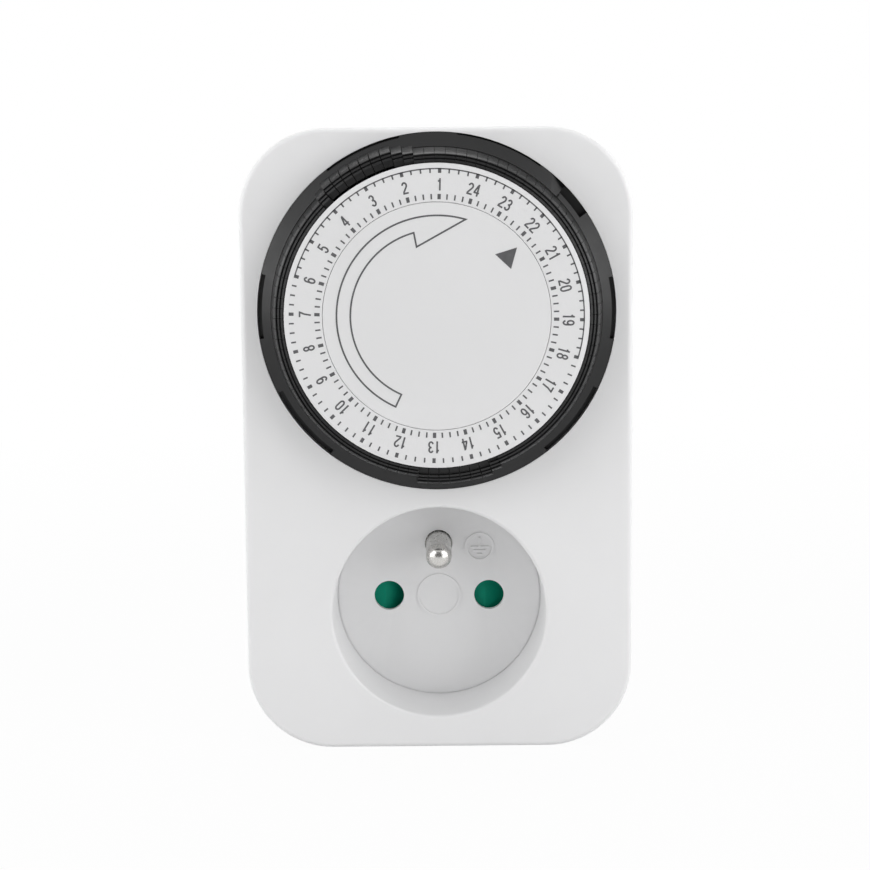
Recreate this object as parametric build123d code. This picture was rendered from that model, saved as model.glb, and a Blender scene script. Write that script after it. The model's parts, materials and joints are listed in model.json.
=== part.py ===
from build123d import *
import os
from math import acos, atan2, cos, degrees, pi, radians, sin, tan

# Plug-in 24-hour timer switch with a round dial of captive tappets.
# Millimetres. Origin: centre of the plug's front face, between its two pins.
# +Y runs along the plug pins into the wall, +Z is up, +X is to the right seen from the front.
# A height on the dial is counted from the housing's front face towards the viewer (-Y).

# ---- housing ----
housing_width = 71.0
housing_bottom = -25.6
housing_top = 88.7
housing_depth = 35.0
front_cover_depth = 21.0
corner_radius = 15.6
side_draft = 1.04
wall = 2.2
front_edge_radius = 1.0
rear_edge_radius = 2.5
joint_tongue = 1.2
joint_tongue_height = 1.6
seam = (0.3, 0.4)
label_recess = 0.3
label_size = (34.0, 20.0)

# ---- plug on the back ----
plug_depth = 16.0
plug_radius = 18.6
plug_wall = 3.0
plug_face_wall = 2.5
plug_edge = 0.8
pin_pitch = 19.0
pin_radius = 2.4
pin_length = 19.0
pin_tip_radius = 1.6
pin_shank_radius = 2.0
pin_root_relief = (0.05, 0.3)
earth_offset = 10.0
earth_bore_radius = 2.45
sleeve_wall = 0.75
sleeve_length = 12.5
clip_width = 4.4
clip_thickness = 0.7
clip_bow = 0.5
clip_floor = 17.4
side_groove_width = 5.4
side_groove_depth = 1.5

# ---- socket in the front ----
well_radius = 19.65
well_floor_radius = 19.35
well_depth = 15.0
well_wall = 2.0
well_floor = 2.4
well_rim_radius = 0.6
well_groove = (0.25, 0.2)
contact_hole_radius = 2.82
earth_pin_length = 14.0
earth_pin_clearance = 0.2
earth_flange_radius = 3.6
earth_flange = 1.2
raised_mark = 0.32
floor_ring_radius = 4.15
floor_ring_line = 0.42
earth_mark_radius = 2.85
earth_mark_spot = (7.75, 9.2)
earth_mark_ring = 0.6
mark_line = 0.45

# ---- dial ----
dial_z = 55.52
dial_rest_angle = 1.6
dial_face_height = 7.86
opening_radius = 32.46
opening_boss_radius = 34.0
bezel_seat_depth = 2.6
bezel_seat_radius = 31.2
bezel_seat_wall = 1.0
bezel_inner_radius = 29.90
bezel_inner_height = 1.8
bezel_skirt_radius = 30.9
window_floor = -2.1
windows = [(7.0, 35.8, 0.3), (78.8, 99.0, 0.8), (115.7, 142.0, 1.05),
           (217.3, 243.6, 1.15), (262.0, 283.0, 0.85), (322.9, 348.4, 0.4)]
notch_depth = 1.6
notch_span = (45.9, 56.7)
ramp_start = 40.1
ramp_leads = (3.4, 0.6)
ramp_drop = 1.0
bezel_gap = 0.06
ring_outer = 27.16
ring_inner = 20.36
ring_thickness = 0.91
ring_shoulder = 0.86
ring_shoulder_drop = 0.22
dial_edge_bevel = 0.08
disc_radius = 20.28
disc_thickness = 1.5
disc_stem_radius = 3.15
stem_end_height = -6.6
hub_radius = 6.0
hub_shoulder_radius = 6.7
running_gap = 0.05

# ---- tappets ----
tappet_count = 96
tappet_top_inner = (27.35, 7.70)
tappet_top_outer = (28.77, 7.12)
tappet_shoulder = (29.05, 6.65)
tappet_foot = (29.80, 2.40)
tappet_tail = (26.2, 27.2)
tappet_tail_end = -2.0
tappet_side_gap = 0.08
tappet_tail_angle = 1.9
tappet_gap = 0.15
push_outward = 1.40
push_back = 1.25
grip_groove = (0.36, 0.2)
grip_lean = 0.75
grip_shares = (0.24, 0.67)
pushed_tappets = list(range(43, 50)) + list(range(85, 92))
part_pushed_tappets = {42: 0.5, 84: 0.5, 92: 0.62, 93: 0.3}
single_tappets = list(range(8, 16))

# ---- dial carrier ----
carrier_outer = 29.74
carrier_floor = -1.2
carrier_rim_inner = 25.0
web_bottom = 3.6
web_top = 5.0
seat_width = 1.1
gear_wall_outer = 22.3
gear_wall_bottom = -5.0
hub_wall = 2.0
hub_top = 6.0
ratchet_height = 1.4
ratchet_tooth = 0.6

# ---- gear train ----
gear_module = 0.5
dial_teeth = 80
drive_pinion_teeth = 12
drive_teeth = 38
reduction_pinion_teeth = 10
reduction_teeth = 36
motor_pinion_teeth = 10
tooth_play = 0.12
gear_face = 1.0
gear_plane_gap = 0.3
arbor_radius = 1.0
drive_clock = 235.0
reduction_reach = 17.5
motor_reach = 15.0

# ---- mechanism plate ----
plate_height = -8.0
plate_thickness = 1.6
plate_radius = 30.8
post_radius = 3.0
plate_post = (26.5, 31.0)
plate_ear_radius = 4.2
plate_edge_gap = 0.3
plate_screw_radius = 1.15
plate_screw_head = (2.3, 1.4)
plate_screw_length = 5.0
dial_screw_head = (2.3, 1.0)
dial_screw_recess = 1.1
dial_screw_length = 6.0

# ---- housing screws ----
housing_screw_spots = [(27.6, 81.1), (-27.6, 81.1), (27.6, -17.4), (-27.6, -17.4)]
screw_radius = 1.45
screw_head_radius = 2.7
screw_head_height = 1.8
screw_head_depth = 4.0
screw_length = 22.0
screw_boss_radius = 3.6
screw_clearance = 0.15
screw_head_round = 0.6
cross_recess = (1.4, 0.3)
cross_recess_floor = 0.8

# ---- motor ----
motor_centre = (0.0, 50.0)
motor_radius = 17.0
motor_depth = 12.0
motor_wall = 0.8
motor_cover_thickness = 1.0
motor_ear_reach = 19.5
motor_ear_radius = 3.2
motor_ear_clocks = (45, 225)
motor_screw_radius = 1.0
motor_screw_head = (1.9, 1.2)
motor_screw_length = 2.4
bobbin_inner = 8.6
bobbin_outer = 15.6
bobbin_width = 7.4
bobbin_wall = 0.8
claw_inner = 7.1
claw_thickness = 0.8
claw_count = 8
rotor_radius = 6.5
rotor_width = 6.6
rotor_shaft_radius = 0.8
lead_radius = 0.6
lead_start = (6.0, 38.0)
lead_drop_y = -24.4
lead_side_gap = 5.0
lead_turns_z = (14.0, 15.0)

# ---- switch ----
plunger_clock = 51.0
plunger_reach = 28.1
plunger_radius = 1.2
plunger_collar = 0.45
plunger_nose = -3.45
plunger_back = 9.55
plunger_travel = 1.25
blade_width = 5.0
blade_thickness = 0.3
blade_root_z = 46.0
blade_tip_z = 77.0
blade_hinge_gap = 0.2
contact_z = 66.0
contact_radius = 1.5
contact_height = 0.8
contact_gap = 1.0
bar_width = 5.0
bar_thickness = 0.8
pin_bar_front = -7.0
strip_x = 13.4
tab_offset = 4.0
crossing_front = -20.0
step_low = 25.2
load_z = (26.6, 31.6)
load_x = 17.4
terminal_z = (40.0, 46.0)
blade_end_gap = 0.03

# ---- shutter and contacts ----
shutter_travel = 5.5
shutter_skin = 1.1
shutter_block = (3.6, 2.4)
shutter_lap = 3.1
shutter_ramp_depth = 2.0
shutter_half_height = 3.2
shutter_bar = (-6.2, -3.2)
shutter_front_gap = 0.15
shutter_depth = 2.3
shutter_guide_gap = 0.2
spring_solid_length = 1.7
spring_radius = 0.95
spring_wire = 0.16
spring_turns = 5
grip_inner = 2.42
grip_sheet = 0.8
grip_offset = 3.0
grip_length = 10.6
stake_radius = 1.0
stake_spots = [(-14.0, -8.6), (11.0, -8.6)]
frame_end_wall = 1.2
frame_back_wall = 0.35
carrier_frame_z = (-10.2, 4.8)
cradle_wall = 0.9

# ---- ratchet pawl ----
pawl_clock = 310.0
pawl_pivot_reach = 27.6
pawl_pivot_radius = 0.8
pawl_eye_radius = 1.5
pawl_tip_gap = 0.12
pawl_length = 8.5

# ---- stations worked out from the sizes above ----
back_y = -plug_depth
front_y = back_y - housing_depth
parting_y = front_y + front_cover_depth
floor_y = front_y + well_depth
floor_back_y = floor_y + well_floor
inner_front_y = front_y + wall
inner_back_y = back_y - wall
housing_mid_z = (housing_top + housing_bottom) / 2
housing_height = housing_top - housing_bottom
plate_front_y = front_y - plate_height
plate_back_y = plate_front_y + plate_thickness
pin_x = pin_pitch / 2
shutter_left = -pin_x - shutter_lap
spring_length = shutter_travel + spring_solid_length
pitch_angle = 360 / tappet_count
pitch_ring = gear_module * dial_teeth / 2
drive_reach = gear_module * (dial_teeth - drive_pinion_teeth) / 2
reduction_distance = gear_module * (drive_teeth + reduction_pinion_teeth) / 2
motor_distance = gear_module * (reduction_teeth + motor_pinion_teeth) / 2
slide_angle = atan2(push_back, push_outward)
slope = tan(slide_angle)
pressure = radians(20)


# ---- placing helpers ----
def height_y(height):
    """Y of a point that stands the given height in front of the housing's face."""
    return front_y - height


def clock_spot(reach, clock, centre=(0.0, dial_z)):
    """X and Z of a point at a clock angle (clockwise from the top, seen from the front)."""
    return centre[0] + reach * sin(radians(clock)), centre[1] + reach * cos(radians(clock))


def turn_between(near, far, across):
    """Angle at the dial axis between two arbors, from their reaches and their centre distance."""
    return degrees(acos((near ** 2 + far ** 2 - across ** 2) / (2 * near * far)))


def clock_towards(start, end):
    """Clock angle of the direction from one X, Z point to another."""
    return degrees(atan2(end[0] - start[0], end[1] - start[1]))


def block(x, y, z):
    """Box between two limits on each axis."""
    centre = Pos((x[0] + x[1]) / 2, (y[0] + y[1]) / 2, (z[0] + z[1]) / 2)
    return centre * Box(x[1] - x[0], y[1] - y[0], z[1] - z[0])


def rod(radius, y, x=0.0, z=0.0):
    """Cylinder along Y between two limits."""
    return Pos(x, (y[0] + y[1]) / 2, z) * Rot(90, 0, 0) * Cylinder(radius, y[1] - y[0])


def tube(outer, inner, y, x=0.0, z=0.0):
    """Hollow cylinder along Y between two limits."""
    return rod(outer, y, x, z) - rod(inner, (y[0] - 1, y[1] + 1), x, z)


def prism(points, y, centre=(0.0, 0.0)):
    """Polygon of X, Z points, swept along Y between two limits."""
    corners = [Vector(centre[0] + x, y[0], centre[1] + z) for x, z in points]
    return extrude(make_face(Polyline(*corners, close=True)), amount=y[1] - y[0], dir=(0, 1, 0))


def dial_turned(profile, arc=360.0, clock=0.0):
    """Profile of (radius, height) points turned about the dial axis, centred on a clock angle."""
    corners = [Vector(radius, height_y(height), 0) for radius, height in profile]
    face = make_face(Polyline(*corners, close=True))
    solid = revolve(face, axis=Axis.Y, revolution_arc=arc)
    return Pos(0, 0, dial_z) * Rot(0, clock - 90 - arc / 2, 0) * solid


def on_dial(solid, clock):
    """A solid made about the dial axis at clock 0, turned to a clock angle."""
    return Pos(0, 0, dial_z) * Rot(0, clock, 0) * Pos(0, 0, -dial_z) * solid


def housing_prism(inset, y):
    """Rounded, drafted slab of the housing, its outline set in from the outer surface."""
    shrink = 2 * (inset + (y[0] - front_y) * tan(radians(side_draft)))
    outline = RectangleRounded(
        housing_width - shrink, housing_height - shrink, corner_radius - shrink / 2)
    plane = Plane(origin=(0, y[0], housing_mid_z), x_dir=(1, 0, 0), z_dir=(0, 1, 0))
    return extrude(plane * outline, amount=y[1] - y[0], taper=side_draft)


# ---- gear outlines ----
def involute(angle):
    return tan(angle) - angle


def tooth_half_angle(radius, teeth, width):
    """Half of the angle that a tooth takes at a radius, for a tooth of given width at the pitch line."""
    pitch_radius = gear_module * teeth / 2
    base = pitch_radius * cos(pressure)
    flank = acos(base / max(radius, base))
    return width / (2 * pitch_radius) + involute(pressure) - involute(flank)


def gear_points(teeth, low, high, width, clock):
    """Corner points of a gear outline, with a tooth centred on the clock angle."""
    base = gear_module * teeth / 2 * cos(pressure)
    start = min(max(low, base), high)
    radii = [low] + [start + (high - start) * step / 3 for step in range(4)]
    if low >= base:
        radii = radii[1:]
    halves = [(radius, tooth_half_angle(radius, teeth, width)) for radius in radii]
    points = []
    for tooth in range(teeth):
        middle = radians(clock) + 2 * pi * tooth / teeth
        for radius, half in halves:
            points.append((radius * sin(middle - half), radius * cos(middle - half)))
        for radius, half in reversed(halves):
            points.append((radius * sin(middle + half), radius * cos(middle + half)))
    return points


def spur_gear(teeth, y, centre, clock):
    """External gear between two Y limits."""
    pitch_radius = gear_module * teeth / 2
    width = pi * gear_module / 2 - tooth_play / 2
    points = gear_points(
        teeth, pitch_radius - 1.2 * gear_module, pitch_radius + 0.8 * gear_module, width, clock)
    return prism(points, y, centre)


# ---- where the arbors stand ----
drive_spot = clock_spot(drive_reach, drive_clock)
reduction_clock = drive_clock - turn_between(drive_reach, reduction_reach, reduction_distance)
reduction_spot = clock_spot(reduction_reach, reduction_clock)
motor_clock = reduction_clock - turn_between(reduction_reach, motor_reach, motor_distance)
motor_spot = clock_spot(motor_reach, motor_clock)
drive_to_reduction = clock_towards(drive_spot, reduction_spot)
reduction_to_motor = clock_towards(reduction_spot, motor_spot)

# gear planes, as heights on the dial
reduction_plane = (plate_height + gear_plane_gap, plate_height + gear_plane_gap + gear_face)
drive_plane = (reduction_plane[1] + gear_plane_gap, reduction_plane[1] + gear_plane_gap + gear_face)


# ---- places shared by several parts ----
shutter_front_y = floor_y + shutter_skin + shutter_front_gap
pocket_y = shutter_front_y + shutter_depth + shutter_guide_gap
carrier_frame_y = (floor_back_y, pocket_y + frame_back_wall)
shutter_right = shutter_left + pin_pitch + sum(shutter_block)
shutter_run = (shutter_left - spring_length, shutter_right + shutter_guide_gap)
link_y = (floor_back_y + earth_flange, floor_back_y + earth_flange + bar_thickness)
earth_bar_y = (-plug_face_wall - sleeve_length - bar_thickness, -plug_face_wall - sleeve_length)
earth_bar_reach = plug_radius - plug_wall - 0.1
pin_bar_y = (pin_bar_front, pin_bar_front + bar_thickness)
grip_y = (floor_back_y + grip_offset, floor_back_y + grip_offset + grip_length)
tab_y = (floor_back_y + tab_offset, floor_back_y + tab_offset + bar_thickness)
crossing_y = (crossing_front, crossing_front + bar_thickness)
step_z = (step_low, step_low + bar_thickness)
plunger_spot = clock_spot(plunger_reach, plunger_clock)
blade_x = (plunger_spot[0] - blade_width / 2, plunger_spot[0] + blade_width / 2)
plunger_end_y = height_y(plunger_nose) + plunger_back
blade_y = (plunger_end_y + blade_end_gap, plunger_end_y + blade_end_gap + blade_thickness)
root_y = (blade_y[1], blade_y[1] + bar_thickness)
fixed_face_y = blade_y[1] + contact_height + contact_gap + contact_height
fixed_y = (fixed_face_y, fixed_face_y + bar_thickness)
cover_y = (plate_back_y, plate_back_y + motor_cover_thickness)
case_y = (cover_y[1], plate_back_y + motor_depth)
bobbin_y = (case_y[1] - motor_wall - claw_thickness - bobbin_width, case_y[1] - motor_wall - claw_thickness)
motor_ears = [clock_spot(motor_ear_reach, clock, motor_centre) for clock in motor_ear_clocks]
pawl_spot = clock_spot(pawl_pivot_reach, pawl_clock)
pawl_plane = (gear_wall_bottom + 0.05, gear_wall_bottom + ratchet_height - 0.05)


# ---- housing ----
def post(x, z, bore, y):
    """Screw post that stands behind the front wall, with its blind pilot hole."""
    solid = rod(post_radius, (inner_front_y - 0.5, y), x, z)
    return solid, rod(bore, (inner_front_y + 2, y + 1), x, z)


def front_cover():
    cover = housing_prism(0, (front_y, parting_y))
    front_edges = cover.edges().filter_by(lambda edge: abs(edge.center().Y - front_y) < 0.01)
    cover = fillet(front_edges, front_edge_radius)
    cover -= housing_prism(wall, (inner_front_y, parting_y + 1))
    boss = tube(opening_boss_radius, bezel_seat_radius,
                (front_y + wall / 2, front_y + bezel_seat_depth + bezel_seat_wall), 0, dial_z)
    cover += boss & housing_prism(wall / 2, (front_y + wall / 2, parting_y))
    cover += rod(well_radius + well_wall, (front_y + wall / 2, floor_back_y))
    holes = []
    for x, z in housing_screw_spots:
        solid, hole = post(x, z, screw_radius, parting_y)
        cover += solid & housing_prism(wall / 2, (front_y + wall / 2, parting_y))
        holes.append(hole)
    for side in (-1, 1):
        solid, hole = post(side * plate_post[0], plate_post[1], plate_screw_radius, plate_front_y)
        cover += solid
        holes.append(hole)
    for x, z in stake_spots:
        cover += rod(stake_radius, (floor_back_y - 0.5, carrier_frame_y[1]), x, z)
    holes.append(rod(opening_radius, (front_y - 1, front_y + bezel_seat_depth), 0, dial_z))
    holes.append(rod(bezel_seat_radius, (front_y - 1, front_y + 8), 0, dial_z))
    holes.append(well_space())
    for side in (-1, 1):
        holes.append(rod(contact_hole_radius, (floor_y - 1, floor_back_y + 1), side * pin_x, 0))
    holes.append(rod(pin_radius + earth_pin_clearance, (floor_y - 1, floor_back_y + 1), 0, earth_offset))
    holes.append(shutter_pocket((floor_y + shutter_skin, floor_back_y + 1)))
    for hole in holes:
        cover -= hole
    return cover + floor_marks()


def well_space():
    """The space inside the socket: a drafted bore with a rounded rim and a fine groove round its floor."""
    depth = well_depth
    cone = Pos(0, front_y + depth / 2, 0) * Rot(90, 0, 0) * Cone(well_floor_radius, well_radius, depth)
    groove_width, groove_depth = well_groove
    cone += tube(well_floor_radius, well_floor_radius - groove_width, (floor_y - 1, floor_y + groove_depth))
    rim = [(well_radius - 0.3, front_y - 1), (well_radius + well_rim_radius, front_y - 1),
           (well_radius + well_rim_radius, front_y), (well_radius, front_y + well_rim_radius),
           (well_radius - 0.3, front_y + well_rim_radius)]
    corner = Vector(well_radius + well_rim_radius, front_y + well_rim_radius, 0)
    bead = Pos(corner.X, corner.Y, 0) * Circle(well_rim_radius)
    face = make_face(Polyline(*[Vector(x, y, 0) for x, y in rim[:3]],
                              Vector(corner.X, corner.Y, 0),
                              *[Vector(x, y, 0) for x, y in rim[3:]], close=True))
    flare = revolve(face - bead, axis=Axis.Y)
    return cone + flare


def floor_marks():
    """Raised ring in the middle of the socket floor and the raised earth sign beside the pin."""
    top = (floor_y - raised_mark, floor_y + 0.3)
    marks = tube(floor_ring_radius, floor_ring_radius - floor_ring_line, top, 0, 0)
    x, z = earth_mark_spot
    marks += tube(earth_mark_radius, earth_mark_radius - earth_mark_ring, top, x, z)
    half = mark_line / 2
    stem_top = z + earth_mark_radius - 0.9
    marks += block((x - half, x + half), top, (z, stem_top))
    for row, reach in enumerate((1.7, 1.15, 0.55)):
        low = z - row * 0.7
        marks += block((x - reach, x + reach), top, (low - half, low + half))
    return marks


def rear_cover():
    cover = housing_prism(0, (parting_y, back_y))
    rear_edges = cover.edges().filter_by(lambda edge: abs(edge.center().Y - back_y) < 0.01)
    cover = fillet(rear_edges, rear_edge_radius)
    seam_width, seam_depth = seam
    seam_y = (parting_y - 1, parting_y + seam_width)
    around = block((-housing_width, housing_width), seam_y, (housing_bottom - 1, housing_top + 1))
    cover -= around - housing_prism(seam_depth, seam_y)
    cover -= housing_prism(wall, (parting_y - 1, inner_back_y))
    tongue = housing_prism(wall + 0.05, (parting_y - joint_tongue_height, inner_back_y))
    tongue -= housing_prism(wall + joint_tongue, (parting_y - joint_tongue_height - 1, inner_back_y + 1))
    cover += tongue
    plug = rod(plug_radius, (inner_back_y, 0))
    plug = chamfer(plug.edges().filter_by(lambda edge: abs(edge.center().Y) < 0.01), plug_edge)
    cover += plug
    for x, z in housing_screw_spots:
        boss = rod(screw_boss_radius, (parting_y, back_y - 0.5), x, z)
        cover += boss & housing_prism(wall / 2, (parting_y, back_y - 0.5))
    cover -= rod(plug_radius - plug_wall, (inner_back_y - 1, -plug_face_wall))
    for x, z in housing_screw_spots:
        cover -= rod(screw_radius + screw_clearance, (parting_y - 3, back_y + 1), x, z)
        cover -= rod(screw_head_radius + 0.3, (back_y - screw_head_depth, back_y + 1), x, z)
        cover -= rod(post_radius + 0.1, (parting_y - 3, parting_y), x, z)
    relief_play, relief_depth = pin_root_relief
    for side in (-1, 1):
        cover -= rod(pin_shank_radius, (-plug_face_wall - 1, 1), side * pin_x, 0)
        cover -= rod(pin_radius + relief_play, (-relief_depth, 1), side * pin_x, 0)
        outer = plug_radius + 1
        low, high = sorted((side * (plug_radius - side_groove_depth), side * outer))
        groove = side_groove_width / 2
        cover -= block((low, high), (back_y, 1), (-groove, groove))
        low, high = sorted((side * clip_floor, side * outer))
        channel = clip_width / 2 + 0.4
        cover -= block((-channel, channel), (back_y, 1), (low, high))
        low, high = sorted((side * (plug_radius - plug_wall - 0.5), side * outer))
        slot = clip_width / 2 + 0.1
        cover -= block((-slot, slot), (back_y, back_y + clip_thickness + 0.2), (low, high))
    cover -= rod(earth_bore_radius, (-plug_face_wall - 1, 1), 0, earth_offset)
    width, height = label_size
    cover -= block((-width / 2, width / 2), (back_y - label_recess, back_y + 1),
                   (dial_z - height / 2, dial_z + height / 2))
    return cover


def housing_screws():
    head_y = back_y - screw_head_depth
    screws = []
    for x, z in housing_screw_spots:
        screw = rod(screw_radius, (head_y - screw_length, head_y + 0.1), x, z)
        head = rod(screw_head_radius, (head_y, head_y + screw_head_height), x, z)
        head = fillet(head.edges().sort_by(Axis.Y)[-1], screw_head_round)
        recess_y = (head_y + cross_recess_floor, head_y + screw_head_height + 1)
        reach, half = cross_recess
        recess = block((x - reach, x + reach), recess_y, (z - half, z + half))
        recess += block((x - half, x + half), recess_y, (z - reach, z + reach))
        screws.append(screw + head - recess)
    return Compound(children=screws)


# ---- plug and earth parts ----
def plug_pin(side):
    """Solid plug pin with a rounded tip, a shoulder on the plug face and a riveted shank."""
    pin = rod(pin_radius, (0, pin_length), side * pin_x)
    pin = fillet(pin.edges().sort_by(Axis.Y)[-1], pin_tip_radius)
    return pin + rod(pin_shank_radius, (pin_bar_y[1], 0.1), side * pin_x)


def earth_sleeve():
    back = -plug_face_wall
    return tube(earth_bore_radius + sleeve_wall, earth_bore_radius,
                (back - sleeve_length, back), 0, earth_offset)


def earth_clips():
    """Two springy side contacts, bowed outwards, that lie in the plug's channels."""
    clips = []
    half = clip_width / 2
    for side in (-1, 1):
        low = clip_floor
        top = low + clip_thickness
        path = [(back_y, low), (back_y, top), (back_y / 2, top + clip_bow), (-1.5, top), (-1.5, low),
                (back_y / 2, low + 0.02)]
        face = make_face(Polyline(*[Vector(-half, y, side * z) for y, z in path], close=True))
        strip = extrude(face, amount=clip_width, dir=(1, 0, 0))
        leg_low, leg_high = sorted((side * earth_bar_reach, side * (low + 0.1)))
        strip += block((-half, half), (back_y, back_y + clip_thickness), (leg_low, leg_high))
        clips.append(strip)
    return Compound(children=clips)


def earth_pin():
    """Male earth pin of the socket: round tip, narrower neck in the floor and a flange behind it."""
    tip_y = floor_y - earth_pin_length
    pin = rod(pin_radius, (tip_y + pin_radius, floor_y), 0, earth_offset)
    pin += Pos(0, tip_y + pin_radius, earth_offset) * Sphere(pin_radius)
    pin += rod(earth_flange_radius, (floor_back_y, floor_back_y + earth_flange), 0, earth_offset)
    return pin + rod(pin_shank_radius, (floor_y - 0.1, link_y[1]), 0, earth_offset)


def earth_bar():
    """Strip that joins the socket's earth pin, the sleeve for the wall's pin and the side clips."""
    half = 1.6
    spread = earth_bore_radius + 1.2
    bar = block((-half, half), earth_bar_y, (-earth_bar_reach, earth_bar_reach))
    bar += rod(spread, earth_bar_y, 0, earth_offset)
    bar -= rod(earth_bore_radius, (earth_bar_y[0] - 1, earth_bar_y[1] + 1), 0, earth_offset)
    shelf_z = earth_offset + spread - 0.2
    shelf = (shelf_z, shelf_z + bar_thickness)
    bar += block((-half, half), (link_y[0], earth_bar_y[1]), shelf)
    tongue = block((-half, half), link_y, (earth_offset, shelf[1]))
    tongue += rod(earth_flange_radius, link_y, 0, earth_offset)
    tongue -= rod(pin_shank_radius, (link_y[0] - 1, link_y[1] + 1), 0, earth_offset)
    return bar + tongue


def grip(side):
    """Female contact: two leaves above and below the pin, joined on the outer side."""
    x = side * pin_x
    half = bar_width / 2
    contact = None
    for turn in (-1, 1):
        low, high = sorted((turn * grip_inner, turn * (grip_inner + grip_sheet)))
        leaf = block((x - half, x + half), grip_y, (low, high))
        contact = leaf if contact is None else contact + leaf
    low, high = sorted((x + side * half, x + side * (half + grip_sheet)))
    reach = grip_inner + grip_sheet
    return contact + block((low, high), grip_y, (-reach, reach))


def pin_terminal(side):
    """Riveted strip on the inner end of a plug pin, turned towards the front."""
    low, high = sorted((side * (pin_x - bar_width / 2), side * (strip_x + bar_thickness)))
    half = bar_width / 2
    strip = block((low, high), pin_bar_y, (-half, half))
    return strip - rod(pin_shank_radius, (pin_bar_y[0] - 1, pin_bar_y[1] + 1), side * pin_x)


def neutral_contact():
    half = bar_width / 2
    contact = grip(-1) + pin_terminal(-1)
    contact += block((-strip_x - bar_thickness, -strip_x), (tab_y[0], pin_bar_y[1]), (-half, half))
    return contact + block((-strip_x - bar_thickness, -pin_x - half), tab_y, (-half, half))


def load_contact():
    """Switched side: female contact, rising strip and the fixed root of the moving blade."""
    half = bar_width / 2
    contact = grip(1)
    contact += block((pin_x - half, pin_x + half), tab_y, (grip_inner, load_z[1]))
    contact += block((pin_x - half, load_x + bar_thickness), tab_y, load_z)
    contact += block((load_x, load_x + bar_thickness), (root_y[0], tab_y[1]), load_z)
    contact += block((load_x, blade_x[1]), root_y, load_z)
    contact += block(blade_x, root_y, (load_z[0], blade_root_z))
    return contact + block(blade_x, blade_y, (terminal_z[0], blade_root_z))


def line_bar():
    """Unswitched side: from the line pin to the fixed contact of the switch."""
    half = bar_width / 2
    bar = pin_terminal(1)
    bar += block((strip_x, strip_x + bar_thickness), (crossing_y[0], pin_bar_y[1]), (-half, half))
    bar += block((strip_x, blade_x[1]), crossing_y, (-half, half))
    bar += block(blade_x, crossing_y, (-half, step_z[1]))
    bar += block(blade_x, (fixed_y[0], crossing_y[1]), step_z)
    bar += block(blade_x, fixed_y, (step_z[0], contact_z + 3))
    button = rod(contact_radius, (fixed_y[0] - contact_height, fixed_y[0] + 0.1), plunger_spot[0], contact_z)
    return bar + button


# ---- shutter ----
def shutter():
    """Sliding shutter: two ramped blocks behind the contact holes, joined by a bar."""
    front = shutter_front_y
    back = front + shutter_depth
    ramp, flat = shutter_block
    low = front + shutter_ramp_depth
    slide = block((shutter_left, shutter_left + pin_pitch + flat + ramp), (front + 0.1, back), shutter_bar)
    for left in (shutter_left, shutter_left + pin_pitch):
        profile = [(left, front), (left + flat, front), (left + flat + ramp, low),
                   (left + flat + ramp, back), (left, back)]
        face = make_face(Polyline(*[Vector(x, y, -shutter_half_height - 0.1) for x, y in profile],
                                  close=True))
        slide += extrude(face, amount=2 * shutter_half_height + 0.1, dir=(0, 0, 1))
    return slide


def shutter_spring():
    """Compression spring at the shutter's left end."""
    radius = spring_radius - spring_wire
    length = spring_length - 2 * spring_wire
    path = Helix(length / spring_turns, length, radius)
    wire = sweep(Plane(path @ 0, z_dir=path % 0) * Circle(spring_wire), path=path, is_frenet=True)
    middle_z = sum(shutter_bar) / 2
    middle_y = shutter_front_y + shutter_depth / 2 + 0.05
    left = shutter_left - spring_length + spring_wire
    return Pos(left, middle_y, middle_z) * Rot(0, 90, 0) * wire


def shutter_pocket(y):
    """Space that the shutter and its spring slide in, between two Y limits."""
    low, high = shutter_bar[0] - shutter_guide_gap, shutter_half_height + shutter_guide_gap
    return block(shutter_run, y, (low, high))


def contact_carrier():
    """Insulating frame behind the socket floor: it guides the shutter and cradles the contacts."""
    left, right = shutter_run
    frame = block((left - frame_end_wall, right + frame_end_wall), carrier_frame_y, carrier_frame_z)
    frame -= shutter_pocket((carrier_frame_y[0] - 1, pocket_y))
    for side in (-1, 1):
        frame -= rod(contact_hole_radius, (carrier_frame_y[0] - 1, carrier_frame_y[1] + 1), side * pin_x)
    for x, z in stake_spots:
        frame -= rod(stake_radius, (carrier_frame_y[0] - 1, carrier_frame_y[1] + 1), x, z)
    half = bar_width / 2
    reach = grip_inner + grip_sheet
    for side in (-1, 1):
        inner = side * (pin_x - half - cradle_wall)
        cradle_y = (carrier_frame_y[1] - 0.1, grip_y[1] - 1)
        low, high = sorted((inner, side * (pin_x - half)))
        frame += block((low, high), cradle_y, (-reach - cradle_wall, reach))
        low, high = sorted((inner, side * (pin_x + half)))
        frame += block((low, high), cradle_y, (-reach - cradle_wall, -reach))
    return frame


# ---- dial ----
def seat_height(radius):
    """Height of the slanted seat that the tappets slide on."""
    return tappet_foot[1] + (tappet_foot[0] - radius) * slope


def carrier_body():
    """The dial's turned body, without its teeth and slots."""
    bore = hub_radius + running_gap
    hub_outer = bore + hub_wall
    slot_inner = tappet_tail[0] - tappet_gap
    seat = dial_face_height - ring_thickness
    gap = running_gap
    profile = [
        (bore, gear_wall_bottom), (hub_outer, gear_wall_bottom), (hub_outer, web_bottom),
        (carrier_rim_inner, web_bottom), (carrier_rim_inner, carrier_floor),
        (carrier_outer, carrier_floor), (carrier_outer, seat_height(carrier_outer) - gap),
        (slot_inner, seat_height(slot_inner) - gap), (slot_inner, seat),
        (slot_inner - seat_width, seat), (slot_inner - seat_width, web_top),
        (ring_inner + seat_width, web_top), (ring_inner + seat_width, seat),
        (ring_inner, seat), (ring_inner, web_top), (hub_outer, web_top),
        (hub_outer, hub_top), (bore, hub_top)]
    return dial_turned(profile)


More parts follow.
